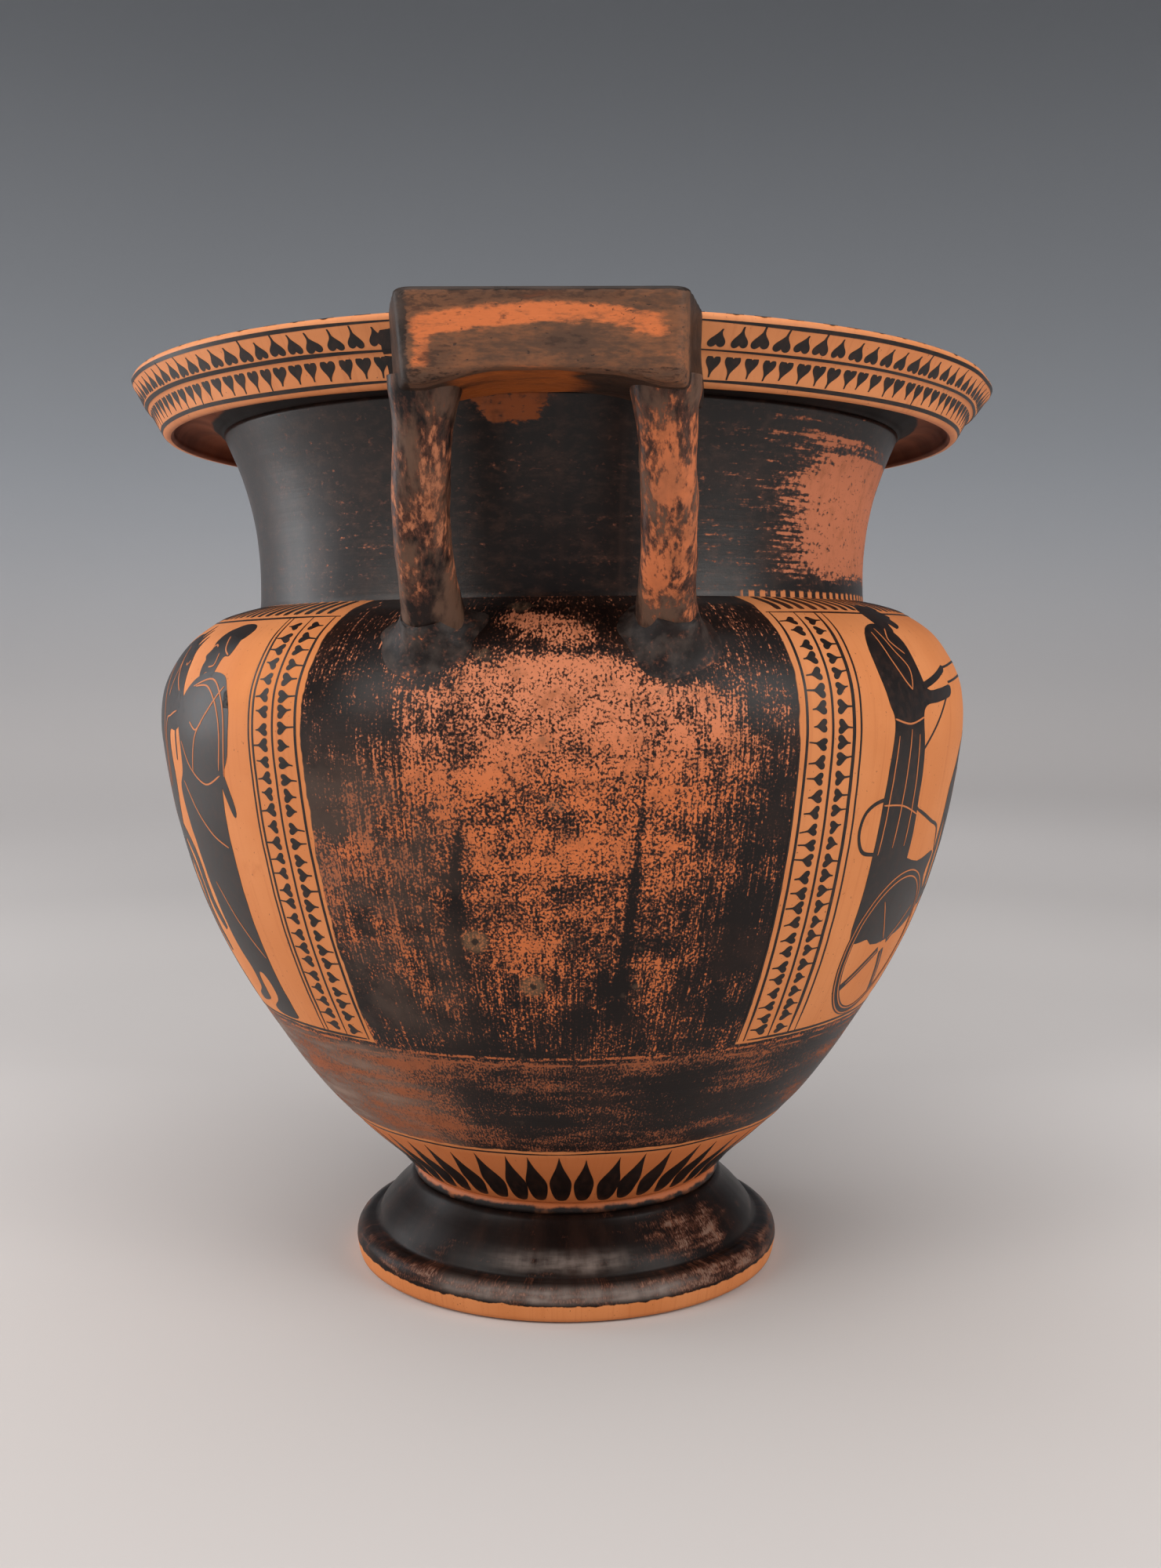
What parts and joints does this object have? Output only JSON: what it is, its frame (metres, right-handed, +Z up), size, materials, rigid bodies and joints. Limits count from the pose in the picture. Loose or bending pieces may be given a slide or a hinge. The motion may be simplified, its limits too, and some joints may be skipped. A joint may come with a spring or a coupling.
{
  "type": "column-krater",
  "caption": "Painted clay column-krater: wide-mouthed mixing bowl on a low foot, with an overhanging rim and a plate-and-column handle on each side.",
  "frame": {"origin": "centre of the face that the foot rests on", "axes": "+Z up along the pot's axis, handles on -Y and +Y, painted panels facing +X and -X"},
  "size_m": [0.3554, 0.412, 0.37],
  "materials": {
    "foot_slip": "satin black slip, worn brown at the edge",
    "collar_clay": "satin brown slip",
    "black_slip": "satin black slip, worn orange, with reserved clay panels",
    "neck_slip": "satin black slip, worn orange in patches",
    "rim_clay": "burnished orange clay with black ornament",
    "plate_slip": "worn satin black slip",
    "column_slip": "worn satin black slip",
    "root_slip": "worn satin black slip"
  },
  "bodies": {
    "root": {"foot": "foot_slip", "foot_collar": "collar_clay", "bowl": "black_slip", "neck": "neck_slip", "rim": "rim_clay", "handle_plate_front": "plate_slip", "handle_plate_back": "plate_slip", "handle_column_front_left": "column_slip", "handle_root_front_left": "root_slip", "handle_column_front_right": "column_slip", "handle_root_front_right": "root_slip", "handle_column_back_left": "column_slip", "handle_root_back_left": "root_slip", "handle_column_back_right": "column_slip", "handle_root_back_right": "root_slip"}
  },
  "joints": []
}
